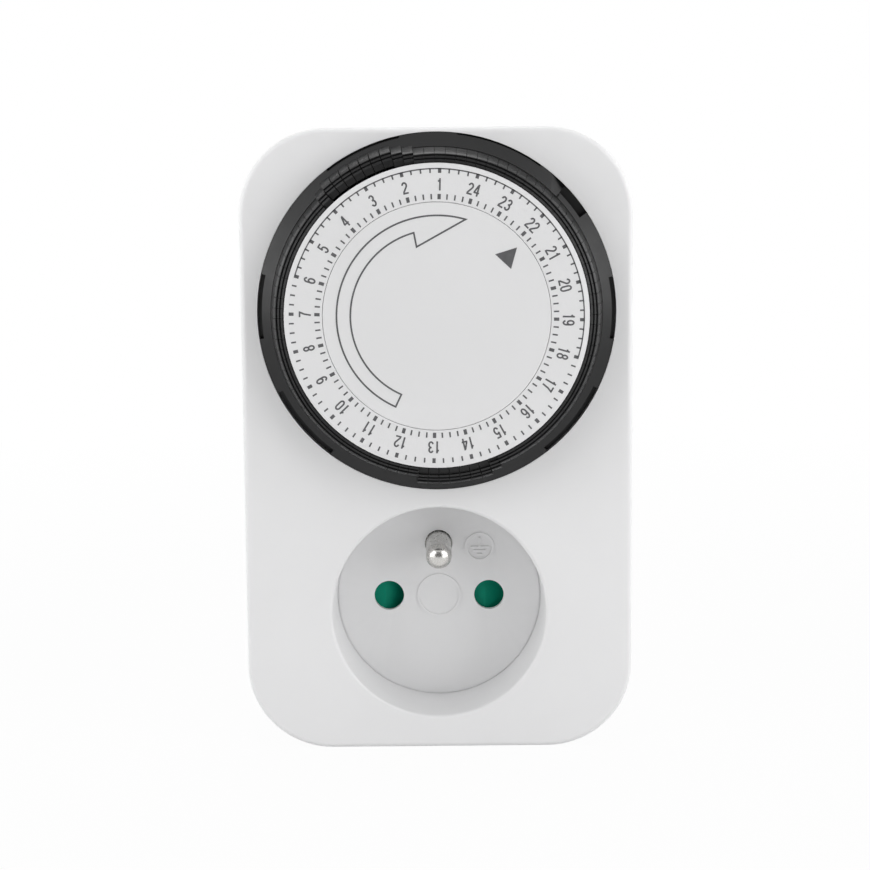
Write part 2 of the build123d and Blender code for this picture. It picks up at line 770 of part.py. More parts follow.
def dial_carrier():
    carrier = carrier_body()
    y = (height_y(web_bottom + 0.1), height_y(gear_wall_bottom))
    gear = rod(gear_wall_outer, y, 0, dial_z)
    space_low = pitch_ring - 0.8 * gear_module
    space_high = pitch_ring + 1.2 * gear_module
    width = pi * gear_module / 2 + tooth_play / 2
    spaces = gear_points(dial_teeth, space_low, space_high, width, drive_clock)
    gear -= prism(spaces, (y[0] - 1, y[1] + 1), (0, dial_z))
    points = []
    for tooth in range(tappet_count):
        start = radians(dial_rest_angle + pitch_angle * tooth)
        crest = gear_wall_outer + ratchet_tooth
        points.append((gear_wall_outer * sin(start), gear_wall_outer * cos(start)))
        points.append((crest * sin(start), crest * cos(start)))
    ratchet_y = (height_y(gear_wall_bottom + ratchet_height), height_y(gear_wall_bottom))
    ratchet = prism(points, ratchet_y, (0, dial_z))
    ratchet -= rod(gear_wall_outer - 0.5, (ratchet_y[0] - 1, ratchet_y[1] + 1), 0, dial_z)
    carrier += gear
    carrier += ratchet
    slot_inner = tappet_tail[0] - tappet_gap
    slot_outer = tappet_tail[1] + push_outward + tappet_gap
    slot_angle = tappet_tail_angle + degrees(2 * 0.06 / slot_inner)
    profile = [(slot_inner, carrier_floor - 1), (slot_outer, carrier_floor - 1),
               (slot_outer, tappet_top_inner[1]), (slot_inner, tappet_top_inner[1])]
    slots = [dial_turned(profile, slot_angle, tappet_clock(index)) for index in range(tappet_count)]
    return carrier - slots


def number_ring():
    top = dial_face_height
    low = top - ring_thickness
    return dial_turned([
        (ring_inner, low), (ring_outer, low), (ring_outer, top - ring_shoulder_drop),
        (ring_outer - ring_shoulder, top), (ring_inner + dial_edge_bevel, top),
        (ring_inner, top - dial_edge_bevel)])


def centre_disc():
    top = dial_face_height
    low = top - disc_thickness
    disc = dial_turned([
        (0, low), (disc_radius, low), (disc_radius, top - dial_edge_bevel),
        (disc_radius - dial_edge_bevel, top), (0, top)])
    disc += rod(disc_stem_radius, (height_y(low + 0.1), height_y(stem_end_height)), 0, dial_z)
    return disc - rod(plate_screw_radius, (height_y(-1), height_y(stem_end_height) + 1), 0, dial_z)


def tappet_clock(index):
    return dial_rest_angle + pitch_angle * index


def tappet(index, push=0.0):
    """One captive tappet: a ribbed head on the slanted seat and a tail through the dial."""
    inner = (tappet_top_inner[0], dial_face_height - ring_thickness - tappet_gap)
    along = Vector(tappet_top_outer[0] - tappet_top_inner[0], tappet_top_outer[1] - tappet_top_inner[1])
    groove_width, groove_depth = grip_groove
    unit = along.normalized()
    down = Vector(unit.Y, -unit.X)
    if down.Y > 0:
        down = down * -1
    top = []
    for share in grip_shares:
        start = Vector(*tappet_top_inner) + along * share
        deepest = start + unit * groove_width * grip_lean + down * groove_depth
        top += [start, deepest, start + unit * groove_width]
    top = [(point.X, point.Y) for point in top]
    bottom_inner = (tappet_tail[0], seat_height(tappet_tail[0]))
    profile = [tappet_top_inner] + top + [
        tappet_top_outer, tappet_shoulder, tappet_foot, bottom_inner, (tappet_tail[0], inner[1]), inner]
    head_angle = pitch_angle - degrees(tappet_side_gap / tappet_foot[0])
    head = dial_turned(profile, head_angle)
    tail_low, tail_high = tappet_tail
    tail = dial_turned([
        (tail_low, tappet_tail_end), (tail_high, tappet_tail_end),
        (tail_high, seat_height(tail_high) + 0.3), (tail_low, seat_height(tail_low) + 0.1)],
        tappet_tail_angle)
    moved = Pos(0, push * push_back, push * push_outward) * (head + tail)
    return on_dial(moved, tappet_clock(index))


def tappet_group(pushes):
    return Compound(children=[tappet(index, push) for index, push in pushes.items()])


def dial_bezel():
    """Fixed ring around the tappets, with rim windows and the notch beside the pointer."""
    outer = opening_radius - bezel_gap
    seat = -bezel_seat_depth
    skirt_inner = bezel_inner_radius
    bezel = dial_turned([
        (skirt_inner, bezel_inner_height), (outer, 0), (outer, seat), (bezel_skirt_radius, seat),
        (bezel_skirt_radius, plate_height), (skirt_inner, plate_height)])
    for start, end, depth in windows:
        bezel -= rim_window(outer - depth, outer + 1, (start, end))
    return bezel - rim_window(outer - notch_depth, outer + 1, notch_span) - ramp_cut()


def rim_window(low, high, span_clocks):
    """Cutter for a window in the bezel's rim between two radii and two clock angles."""
    start, end = span_clocks
    top = bezel_inner_height + 1
    return dial_turned([(low, window_floor), (high, window_floor), (high, top), (low, top)],
                       end - start, (start + end) / 2)


def ramp_cut():
    """Wedge cut that leaves a flat slanted facet across the bezel, beside the notch."""
    rim = opening_radius - bezel_gap
    start, end = ramp_start, notch_span[0]
    rim_start, rim_end = clock_spot(rim, start), clock_spot(rim, end)
    edge_start = clock_spot(bezel_inner_radius, start + ramp_leads[0])
    edge_end = clock_spot(bezel_inner_radius, end + ramp_leads[1])
    sides = []
    for (rim_x, rim_z), (edge_x, edge_z) in ((rim_start, edge_start), (rim_end, edge_end)):
        reach_x, reach_z = rim_x - edge_x, rim_z - edge_z
        sides.append([(rim_x + reach_x, rim_z + reach_z), (edge_x - reach_x, edge_z - reach_z)])
    (near_rim, near_edge), (far_rim, far_edge) = sides
    wedge = prism([near_rim, far_rim, far_edge, near_edge], (height_y(bezel_inner_height + 1), front_y + 8))
    low = Vector(rim_start[0], front_y, rim_start[1])
    along = Vector(edge_start[0], height_y(bezel_inner_height), edge_start[1]) - low
    down = Vector(rim_end[0], front_y + ramp_drop, rim_end[1]) - low
    facet = Plane(origin=low, x_dir=along, z_dir=along.cross(down))
    return split(wedge, bisect_by=facet, keep=Keep.TOP)


# ---- mechanism ----
def mechanism_plate():
    """Chassis behind the dial: hub post, arbor holes, motor window, plunger guide and ears."""
    y = (plate_front_y, plate_back_y)
    plate = rod(plate_radius, y, 0, dial_z)
    for side in (-1, 1):
        x, z = side * plate_post[0], plate_post[1]
        ear_to = clock_spot(plate_radius - 6, clock_towards((0, dial_z), (x, z)))
        plate += rod(plate_ear_radius, y, x, z) + arm(ear_to, (x, z), plate_ear_radius, y)
        x, z = side * abs(housing_screw_spots[0][0]), housing_screw_spots[0][1]
        ear_to = clock_spot(plate_radius - 6, clock_towards((0, dial_z), (x, z)))
        plate += rod(plate_ear_radius, y, x, z) + arm(ear_to, (x, z), plate_ear_radius, y)
    plate &= housing_prism(wall + plate_edge_gap, (plate_front_y - 1, plate_back_y + 1))
    plate += rod(hub_radius, (height_y(dial_face_height - disc_thickness), plate_front_y + 0.1), 0, dial_z)
    plate += rod(hub_shoulder_radius, (height_y(gear_wall_bottom - 0.1), plate_front_y + 0.1), 0, dial_z)
    x, z = plunger_spot
    plate += rod(plunger_radius + 1.1, (plate_front_y, plate_back_y + 2), x, z)
    x, z = pawl_spot
    plate += rod(pawl_pivot_radius, (height_y(pawl_plane[1]) - 0.1, plate_front_y + 0.1), x, z)
    plate += rod(pawl_pivot_radius + 0.8, (height_y(pawl_plane[0]) + 0.05, plate_front_y + 0.1), x, z)
    stem_radius = disc_stem_radius + running_gap
    plate -= rod(stem_radius, (height_y(20), height_y(stem_end_height)), 0, dial_z)
    plate -= rod(plate_screw_radius + 0.1, (height_y(20), plate_back_y + 1), 0, dial_z)
    plate -= rod(plate_screw_head[0] + 0.2, (plate_back_y - dial_screw_recess, plate_back_y + 1), 0, dial_z)
    for spot in (drive_spot, reduction_spot):
        plate -= rod(arbor_radius, (plate_front_y - 1, plate_back_y + 1), *spot)
    tip = gear_module * (motor_pinion_teeth / 2 + 1) + 0.2
    plate -= rod(tip, (plate_front_y - 1, plate_back_y + 1), *motor_spot)
    plate -= rod(plunger_radius + running_gap, (plate_front_y - 1, plate_back_y + 3), *plunger_spot)
    for spot in motor_ears:
        plate -= rod(motor_screw_radius, (plate_front_y - 1, plate_back_y + 1), *spot)
    for side in (-1, 1):
        plate -= rod(plate_screw_radius + 0.1, (plate_front_y - 1, plate_back_y + 1),
                     side * plate_post[0], plate_post[1])
        plate -= rod(post_radius + 0.1, (plate_front_y - 1, plate_back_y + 1),
                     side * abs(housing_screw_spots[0][0]), housing_screw_spots[0][1])
    return plate


def arm(start, end, half_width, y):
    """Straight arm of a plate between two X, Z points."""
    clock = radians(clock_towards(start, end))
    dx, dz = cos(clock) * half_width, -sin(clock) * half_width
    corners = [(start[0] - dx, start[1] - dz), (start[0] + dx, start[1] + dz),
               (end[0] + dx, end[1] + dz), (end[0] - dx, end[1] - dz)]
    return prism(corners, y)


def pan_screw(x, z, seat_y, radius, length, head):
    """Screw driven from the back, its head on the seat."""
    head_radius, head_height = head
    screw = rod(radius, (seat_y - length, seat_y + 0.1), x, z)
    cap = rod(head_radius, (seat_y, seat_y + head_height), x, z)
    cap = fillet(cap.edges().sort_by(Axis.Y)[-1], head_height * 0.35)
    slot = block((x - head_radius, x + head_radius),
                 (seat_y + head_height * 0.6, seat_y + head_height + 1), (z - 0.25, z + 0.25))
    return screw + cap - slot


def plate_screws():
    return Compound(children=[
        pan_screw(side * plate_post[0], plate_post[1], plate_back_y, plate_screw_radius,
                  plate_screw_length, plate_screw_head) for side in (-1, 1)])


def dial_screw():
    return pan_screw(0, dial_z, plate_back_y - dial_screw_recess, plate_screw_radius,
                     dial_screw_length, dial_screw_head)


def arbors():
    drive_top = height_y(web_bottom - 0.6)
    reduction_top = height_y(gear_wall_bottom - 0.2)
    return Compound(children=[
        rod(arbor_radius, (drive_top, plate_back_y), *drive_spot),
        rod(arbor_radius, (reduction_top, plate_back_y), *reduction_spot)])


def span(plane):
    """Y limits of a pair of heights."""
    return height_y(plane[1]), height_y(plane[0])


def drive_gear():
    bore = arbor_radius + running_gap
    wheel = spur_gear(drive_teeth, span(drive_plane), drive_spot, drive_to_reduction)
    pinion_plane = (drive_plane[1] - 0.1, web_bottom - 1.0)
    wheel += spur_gear(drive_pinion_teeth, span(pinion_plane), drive_spot, drive_clock)
    return wheel - rod(bore, (height_y(20), plate_back_y), *drive_spot)


def reduction_gear():
    bore = arbor_radius + running_gap
    toward_motor = reduction_to_motor
    wheel = spur_gear(reduction_teeth, span(reduction_plane), reduction_spot, toward_motor)
    plane = (reduction_plane[1] - 0.1, drive_plane[1] + 0.05)
    gap_clock = drive_to_reduction + 180 + 180 / reduction_pinion_teeth
    wheel += spur_gear(reduction_pinion_teeth, span(plane), reduction_spot, gap_clock)
    return wheel - rod(bore, (height_y(20), plate_back_y), *reduction_spot)


def motor_pinion():
    gap_clock = reduction_to_motor + 180 + 180 / motor_pinion_teeth
    pinion = spur_gear(motor_pinion_teeth, span(reduction_plane), motor_spot, gap_clock)
    return pinion + rod(arbor_radius, (height_y(reduction_plane[0]) - 0.1, cover_y[1] + 2), *motor_spot)


def ratchet_pawl():
    """Click pawl whose tip stands just clear of the dial's ratchet teeth."""
    y = span(pawl_plane)
    tip_reach = gear_wall_outer + ratchet_tooth + pawl_tip_gap
    tip_clock = pawl_clock + degrees(pawl_length / pawl_pivot_reach)
    tip = clock_spot(tip_reach, tip_clock)
    tip_back = clock_spot(tip_reach + 1.3, tip_clock + 0.5)
    root_in = clock_spot(pawl_pivot_reach - pawl_eye_radius + 0.1, pawl_clock)
    root_out = clock_spot(pawl_pivot_reach + pawl_eye_radius - 0.1, pawl_clock)
    pawl = prism([root_in, root_out, tip_back, tip], y) + rod(pawl_eye_radius, y, *pawl_spot)
    return pawl - rod(pawl_pivot_radius + running_gap, (y[0] - 1, y[1] + 1), *pawl_spot)


# ---- motor ----
def motor_cover():
    cover = rod(motor_radius, cover_y, *motor_centre)
    for spot in motor_ears:
        cover += rod(motor_ear_radius, cover_y, *spot)
        cover += arm(motor_centre, spot, motor_ear_radius, cover_y)
        cover -= rod(motor_screw_radius + 0.1, (cover_y[0] - 1, cover_y[1] + 1), *spot)
    cover -= rod(arbor_radius + running_gap, (cover_y[0] - 1, cover_y[1] + 1), *motor_spot)
    return cover - rod(rotor_shaft_radius + running_gap, (cover_y[0] - 1, cover_y[1] + 1), *motor_centre)


def motor_case():
    case = rod(motor_radius, case_y, *motor_centre)
    case = fillet(case.edges().sort_by(Axis.Y)[-1], 1.0)
    case -= rod(motor_radius - motor_wall, (case_y[0] - 1, case_y[1] - motor_wall), *motor_centre)
    return case - rod(rotor_shaft_radius + running_gap, (case_y[1] - 3, case_y[1] + 1), *motor_centre)


def motor_screws():
    return Compound(children=[
        pan_screw(x, z, cover_y[1], motor_screw_radius, motor_screw_length, motor_screw_head)
        for x, z in motor_ears])


def coil_bobbin():
    flange = bobbin_wall
    bobbin = tube(bobbin_inner + flange, bobbin_inner, bobbin_y, *motor_centre)
    for low in (bobbin_y[0], bobbin_y[1] - flange):
        bobbin += tube(bobbin_outer, bobbin_inner, (low, low + flange), *motor_centre)
    return bobbin


def coil_winding():
    return tube(bobbin_outer - 0.7, bobbin_inner + bobbin_wall,
                (bobbin_y[0] + bobbin_wall, bobbin_y[1] - bobbin_wall), *motor_centre)


def stator_claws():
    """Pole ring with fingers that stand between the coil and the rotor."""
    base_y = (bobbin_y[1], bobbin_y[1] + claw_thickness)
    claws = tube(motor_radius - motor_wall, claw_inner, base_y, *motor_centre)
    ring = tube(claw_inner + claw_thickness, claw_inner, (bobbin_y[0] + 1, bobbin_y[1] + 0.1), *motor_centre)
    half = claw_inner * sin(pi / claw_count) * 0.55
    fingers = None
    for index in range(claw_count):
        finger = block((-half, half), (bobbin_y[0] + 1, bobbin_y[1] + 0.1), (0, claw_inner + 2))
        finger = Pos(motor_centre[0], 0, motor_centre[1]) * Rot(0, 360 * index / claw_count, 0) * finger
        fingers = finger if fingers is None else fingers + finger
    return claws + (ring & fingers)


def rotor_magnet():
    middle = sum(bobbin_y) / 2
    y = (middle - rotor_width / 2, middle + rotor_width / 2)
    return tube(rotor_radius, rotor_shaft_radius, y, *motor_centre)


def rotor_shaft():
    return rod(rotor_shaft_radius, (cover_y[0], case_y[1]), *motor_centre)


def motor_leads():
    """Two insulated leads from the motor's back to the neutral contact and the line bar."""
    x, z = lead_start
    back = case_y[1]
    side = -strip_x - lead_side_gap
    left_turn, right_turn = lead_turns_z
    to_neutral = [(-x, back, z), (-x, lead_drop_y, z), (side, lead_drop_y, left_turn),
                  (side, lead_drop_y, 0.0), (-strip_x - bar_thickness, lead_drop_y, 0.0)]
    to_line = [(x, back, z), (x, lead_drop_y, z), (plunger_spot[0], lead_drop_y, right_turn),
               (plunger_spot[0], crossing_y[0], right_turn)]
    leads = []
    for route in (to_neutral, to_line):
        points = [Vector(*point) for point in route]
        radii = []
        for before, corner, after in zip(points, points[1:], points[2:]):
            run = min((corner - before).length, (after - corner).length)
            bend = (corner - before).get_angle(after - corner)
            radii.append(0.45 * run / tan(radians(bend / 2)))
        path = FilletPolyline(*points, radius=radii)
        section = Plane(path @ 0, z_dir=path % 0) * Circle(lead_radius)
        leads.append(sweep(section, path=path))
    return Compound(children=leads)


# ---- switch ----
def switch_plunger():
    x, z = plunger_spot
    nose_y = height_y(plunger_nose)
    plunger = rod(plunger_radius, (nose_y, nose_y + plunger_back), x, z)
    plunger = fillet(plunger.edges().sort_by(Axis.Y)[0], 0.9)
    collar_y = plate_front_y - plunger_travel - 0.1
    return plunger + rod(plunger_radius + plunger_collar, (collar_y - 1.0, collar_y), x, z)


def moving_blade():
    """Springy contact blade that the plunger presses back against the fixed contact."""
    x = plunger_spot[0]
    blade = block(blade_x, blade_y, (blade_root_z + blade_hinge_gap, blade_tip_z))
    return blade + rod(contact_radius, (blade_y[1] - 0.1, blade_y[1] + contact_height), x, contact_z)


def terminal_block():
    """Insulator that clamps the blade's root and carries the line bar."""
    x = (blade_x[0] - 0.6, blade_x[1] + 0.6)
    base = block(x, (plate_back_y, blade_y[0]), terminal_z)
    lip = block((x[0], blade_x[0]), (blade_y[0] - 0.1, fixed_y[1]), terminal_z)
    lip += block((blade_x[1], x[1]), (blade_y[0] - 0.1, fixed_y[1]), terminal_z)
    bridge = block((x[0], x[1]), (root_y[1], fixed_y[0]), terminal_z)
    return base + lip + bridge


def make_parts():
    grouped = set(pushed_tappets) | set(part_pushed_tappets) | set(single_tappets)
    pushes = {index: 1.0 for index in pushed_tappets}
    pushes.update(part_pushed_tappets)
    parts = {
        "front_cover": front_cover(),
        "rear_cover": rear_cover(),
        "housing_screws": housing_screws(),
        "line_pin": plug_pin(1),
        "neutral_pin": plug_pin(-1),
        "earth_sleeve": earth_sleeve(),
        "earth_clips": earth_clips(),
        "earth_pin": earth_pin(),
        "earth_bar": earth_bar(),
        "neutral_contact": neutral_contact(),
        "load_contact": load_contact(),
        "line_bar": line_bar(),
        "socket_shutter": shutter(),
        "shutter_spring": shutter_spring(),
        "contact_carrier": contact_carrier(),
        "dial_bezel": dial_bezel(),
        "dial_carrier": dial_carrier(),
        "number_ring": number_ring(),
        "centre_disc": centre_disc(),
        "tappets_off": tappet_group(
            {index: 0.0 for index in range(tappet_count) if index not in grouped}),
        "tappets_on": tappet_group(pushes),
        "mechanism_plate": mechanism_plate(),
        "plate_screws": plate_screws(),
        "dial_screw": dial_screw(),
        "gear_arbors": arbors(),
        "drive_gear": drive_gear(),
        "reduction_gear": reduction_gear(),
        "motor_pinion": motor_pinion(),
        "ratchet_pawl": ratchet_pawl(),
        "motor_cover": motor_cover(),
        "motor_case": motor_case(),
        "motor_screws": motor_screws(),
        "coil_bobbin": coil_bobbin(),
        "coil_winding": coil_winding(),
        "stator_claws": stator_claws(),
        "rotor_magnet": rotor_magnet(),
        "rotor_shaft": rotor_shaft(),
        "motor_leads": motor_leads(),
        "switch_plunger": switch_plunger(),
        "moving_blade": moving_blade(),
        "terminal_block": terminal_block(),
    }
    for order, index in enumerate(single_tappets, start=1):
        parts[f"tappet_{order:02d}"] = tappet(index)
    return parts


os.makedirs("parts", exist_ok=True)
for name, part in make_parts().items():
    export_step(part, f"parts/{name}.step")
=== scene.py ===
import json
import math

import bpy
from mathutils import Matrix, Vector


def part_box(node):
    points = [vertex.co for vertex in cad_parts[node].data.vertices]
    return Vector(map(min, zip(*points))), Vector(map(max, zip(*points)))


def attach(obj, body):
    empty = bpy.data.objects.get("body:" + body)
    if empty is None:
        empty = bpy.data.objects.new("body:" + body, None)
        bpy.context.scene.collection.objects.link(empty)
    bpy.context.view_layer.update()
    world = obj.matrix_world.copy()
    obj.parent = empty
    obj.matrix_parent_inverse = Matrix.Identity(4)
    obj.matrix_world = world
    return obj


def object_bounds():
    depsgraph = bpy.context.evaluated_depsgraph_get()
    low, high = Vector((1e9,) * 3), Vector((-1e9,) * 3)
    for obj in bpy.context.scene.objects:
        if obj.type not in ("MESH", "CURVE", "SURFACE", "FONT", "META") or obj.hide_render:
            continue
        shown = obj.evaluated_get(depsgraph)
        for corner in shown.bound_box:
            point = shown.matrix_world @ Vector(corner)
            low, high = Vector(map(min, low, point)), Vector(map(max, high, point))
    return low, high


# Metres. +Y runs into the wall, +Z is up, and the front faces -Y, as in the frame.
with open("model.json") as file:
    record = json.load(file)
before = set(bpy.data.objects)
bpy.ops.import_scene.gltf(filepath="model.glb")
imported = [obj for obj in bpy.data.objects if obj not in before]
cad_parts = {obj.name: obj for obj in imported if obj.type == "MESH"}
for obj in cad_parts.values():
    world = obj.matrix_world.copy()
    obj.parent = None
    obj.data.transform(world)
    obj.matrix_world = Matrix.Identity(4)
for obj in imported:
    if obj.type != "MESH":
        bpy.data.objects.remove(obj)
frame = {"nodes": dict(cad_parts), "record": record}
start_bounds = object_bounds()
MM = 0.001

# ---- print on the dial, in millimetres from the dial's axis ----
PRINT_PROUD = 0.03
PRINT_SUNK = 0.02
STROKE_STEP = 0.002
REST_ANGLE = 1.6
QUARTERS = 96
QUARTERS_PER_HOUR = 4
HOUR_STEP = 15.0
INNER_TICK = (20.78, 21.72)
OUTER_TICK = (25.4, 26.26)
TICK_WIDTH = 0.27
HOUR_TICK_WIDTH = 0.58
NIGHT_ARC = (26.04, 26.26)
NIGHT_CLOCKS = (-73.4, 106.6)
NUMERAL_REACH = 23.4
NUMERAL_LINE = 0.29
NUMERAL_PITCH = 1.18
HALF_WIDTH = 0.36
HALF_HEIGHT = 0.93
FOOT = HALF_HEIGHT + NUMERAL_LINE / 2
BOW_STEP = 20.0
ARROW_OUTER = 17.68
ARROW_INNER = 15.24
ARROW_TAIL_CLOCK = -155.0
ARROW_TIP = (17.98, 16.9)
ARROW_BARB = (12.9, -15.6)
ARROW_NECK = (15.44, -14.8)
ARROW_LINE = 0.30
POINTER = [(18.76, 49.5), (15.14, 43.4), (15.63, 57.6)]
ARC_STEP = 1.5
ARROW_STEPS = (96, 80)
MITRE_LIMIT = 0.35

# ---- camera, fitted to the photograph ----
AIM = Vector((-0.51, -51.0, 33.14)) * MM
CAMERA_DISTANCE = 0.420
CAMERA_PITCH = 0.152
CAMERA_ROLL = -0.009
FOCAL_PIXELS = 2306.3
FRAME_PIXELS = 870
SENSOR_WIDTH = 36.0
CLIP_START = 0.01

# ---- surfaces: noise scales are per metre, bumps are a strength and a height in metres ----
INK = (0.10, 0.10, 0.105)
INK_TONE_NOISE = 700.0
INK_TONES = (0.85, 1.2)
INK_GLOSS_NOISE = 900.0
INK_ROUGHNESS = (0.42, 0.6)
INK_GRAIN = 3000.0
INK_BUMP = (0.1, 0.00001)
PLASTIC_TONE_NOISE = 45.0
PLASTIC_GLOSS_NOISE = 380.0
PLASTIC_GLOSS = (-0.05, 0.06)
PLASTIC_BUMP = 0.00003
WORN_EDGE = (0.53, 0.62)
WORN_SHARE = 0.8
WORN_GAIN = 2.5
METAL_TONE_NOISE = 160.0
METAL_GLOSS = (0.7, 1.3)
METAL_BUMP = 0.00002
WIRE_METALLIC = 0.85
WIRE_TURNS = 900.0
WIRE_WANDER = 0.6
# Share of the copper's colour kept in the painted shade between the wire's turns.
WIRE_PAINTED_SHADE = 0.45
WIRE_GLOSS_NOISE = 300.0
WIRE_ROUGHNESS = (0.22, 0.4)
WIRE_BUMP = (0.5, 0.00005)
DIAL_PIECES = ("number_ring", "centre_disc")

# ---- light ----
WORLD_LIGHT = 0.34
FLOOR_TONE = (0.80, 0.80, 0.80)
FRONT_DARKNESS = 0.8
ROOM_EDGE = (-0.4, -0.8)
FLOOR_GLOW = 0.95
FLOOR_FADE = (0.12, 0.35)
FLOOR_REACH = 3.0
LAMP_DISTANCE = 0.9
# Degrees to the right of the front, degrees up, width in metres, watts.
LAMPS = {
    "right_high": (50, 32, 0.5, 1.2),
    "left_high": (-50, 32, 0.5, 1.2),
    "right_low": (48, 2, 0.5, 1.65),
    "left_low": (-48, 2, 0.5, 0.8),
    "right_side": (82, 12, 0.5, 1.5),
    "left_side": (-82, 12, 0.5, 1.55),
    "above": (0, 78, 1.2, 0.9),
    "right_behind": (112, 22, 0.6, 1.1),
    "left_behind": (-112, 22, 0.6, 1.1),
    "above_behind": (180, 66, 0.6, 1.6),
}


# ---- material helpers ----
def new_material(name):
    material = bpy.data.materials.new(name)
    material.use_nodes = True
    tree = material.node_tree
    return material, tree, tree.nodes["Principled BSDF"]


def noise(tree, scale, detail=2.0, stretch=None):
    """Noise in the object's own space, which can be stretched along an axis."""
    place = tree.nodes.new("ShaderNodeTexCoord")
    source = place.outputs["Object"]
    if stretch:
        mapping = tree.nodes.new("ShaderNodeMapping")
        mapping.inputs["Scale"].default_value = stretch
        tree.links.new(source, mapping.inputs["Vector"])
        source = mapping.outputs["Vector"]
    texture = tree.nodes.new("ShaderNodeTexNoise")
    texture.inputs["Scale"].default_value = scale
    texture.inputs["Detail"].default_value = detail
    tree.links.new(source, texture.inputs["Vector"])
    return texture.outputs["Fac"]


def ranged(tree, value, low, high, source=(0.3, 0.7)):
    """Maps a value's source range onto a range of numbers."""
    node = tree.nodes.new("ShaderNodeMapRange")
    node.inputs["From Min"].default_value, node.inputs["From Max"].default_value = source
    node.inputs["To Min"].default_value, node.inputs["To Max"].default_value = low, high
    tree.links.new(value, node.inputs["Value"])
    return node.outputs["Result"]


def mixed(tree, factor, first, second):
    """Colour between two colours."""
    node = tree.nodes.new("ShaderNodeMix")
    node.data_type = "RGBA"
    node.inputs[6].default_value = (*first, 1)
    node.inputs[7].default_value = (*second, 1)
    tree.links.new(factor, node.inputs[0])
    return node.outputs[2]


def shaded(colour, gain):
    return tuple(min(1.0, channel * gain) for channel in colour)


def bumped(tree, shader, height, strength, distance):
    node = tree.nodes.new("ShaderNodeBump")
    node.inputs["Strength"].default_value = strength
    node.inputs["Distance"].default_value = distance
    tree.links.new(height, node.inputs["Height"])
    tree.links.new(node.outputs["Normal"], shader.inputs["Normal"])


def maths(tree, operation, first, second):
    """Result of a Math node, whose inputs are numbers or other nodes' outputs."""
    node = tree.nodes.new("ShaderNodeMath")
    node.operation = operation
    for place, value in enumerate((first, second)):
        if isinstance(value, (int, float)):
            node.inputs[place].default_value = value
        else:
            tree.links.new(value, node.inputs[place])
    return node.outputs[0]


def shown_white(tree):
    """1 where the camera, a reflection or a view through glass sees the surface."""
    path = tree.nodes.new("ShaderNodeLightPath").outputs
    reflected = maths(tree, "MAXIMUM", path["Is Glossy Ray"], path["Is Transmission Ray"])
    return maths(tree, "MAXIMUM", path["Is Camera Ray"], reflected)


def moulded(name, colour, roughness, spread=0.03, grain=2600.0, bump=0.12, specular=0.5):
    """Moulded plastic: slow tone changes, worn light edges and a fine satin grain."""
    material, tree, shader = new_material(name)
    tone = mixed(tree, ranged(tree, noise(tree, PLASTIC_TONE_NOISE, 3.0), 0, 1),
                 shaded(colour, 1 - spread), shaded(colour, 1 + spread))
    edge = tree.nodes.new("ShaderNodeNewGeometry").outputs["Pointiness"]
    wear = tree.nodes.new("ShaderNodeMix")
    wear.data_type = "RGBA"
    wear.inputs[7].default_value = (*shaded(colour, 1 + WORN_GAIN * spread), 1)
    tree.links.new(ranged(tree, edge, 0, WORN_SHARE, WORN_EDGE), wear.inputs[0])
    tree.links.new(tone, wear.inputs[6])
    tree.links.new(wear.outputs[2], shader.inputs["Base Color"])
    tree.links.new(ranged(tree, noise(tree, PLASTIC_GLOSS_NOISE, 3.0),
                          *(roughness + change for change in PLASTIC_GLOSS)), shader.inputs["Roughness"])
    shader.inputs["Specular IOR Level"].default_value = specular
    bumped(tree, shader, noise(tree, grain), bump, PLASTIC_BUMP)
    return material


def metal(name, colour, roughness, spread=0.06, stretch=None, grain=900.0, bump=0.05):
    """Metal with a rolled, drawn or turned grain."""
    material, tree, shader = new_material(name)
    shader.inputs["Metallic"].default_value = 1.0
    lines = noise(tree, grain, 3.0, stretch)
    tone = mixed(tree, ranged(tree, noise(tree, METAL_TONE_NOISE, 4.0), 0, 1),
                 shaded(colour, 1 - spread), shaded(colour, 1 + spread))
    tree.links.new(tone, shader.inputs["Base Color"])
    tree.links.new(ranged(tree, lines, *(roughness * share for share in METAL_GLOSS)),
                   shader.inputs["Roughness"])
    bumped(tree, shader, lines, bump, METAL_BUMP)
    return material


def wound(name, colour):
    """Enamelled wire wound about the Y axis: fine turns with painted shade between them, and a lacquer
    gloss.
    """
    material, tree, shader = new_material(name)
    shader.inputs["Metallic"].default_value = WIRE_METALLIC
    place = tree.nodes.new("ShaderNodeTexCoord")
    wave = tree.nodes.new("ShaderNodeTexWave")
    wave.bands_direction = "Y"
    wave.inputs["Scale"].default_value = WIRE_TURNS
    wave.inputs["Distortion"].default_value = WIRE_WANDER
    tree.links.new(place.outputs["Object"], wave.inputs["Vector"])
    # Darker bands along the winding are painted shade in the grooves between turns, not a change in the
    # copper's colour.
    tree.links.new(mixed(tree, wave.outputs["Fac"], shaded(colour, WIRE_PAINTED_SHADE), colour),
                   shader.inputs["Base Color"])
    tree.links.new(ranged(tree, noise(tree, WIRE_GLOSS_NOISE), *WIRE_ROUGHNESS), shader.inputs["Roughness"])
    bumped(tree, shader, wave.outputs["Fac"], *WIRE_BUMP)
    return material


def printed(name, colour):
    """Pad-printed ink: slightly uneven cover and a soft sheen."""
    material, tree, shader = new_material(name)
    tree.links.new(mixed(tree, ranged(tree, noise(tree, INK_TONE_NOISE, 4.0), 0, 1),
                         *(shaded(colour, gain) for gain in INK_TONES)), shader.inputs["Base Color"])
    tree.links.new(ranged(tree, noise(tree, INK_GLOSS_NOISE), *INK_ROUGHNESS), shader.inputs["Roughness"])
    bumped(tree, shader, noise(tree, INK_GRAIN), *INK_BUMP)
    return material


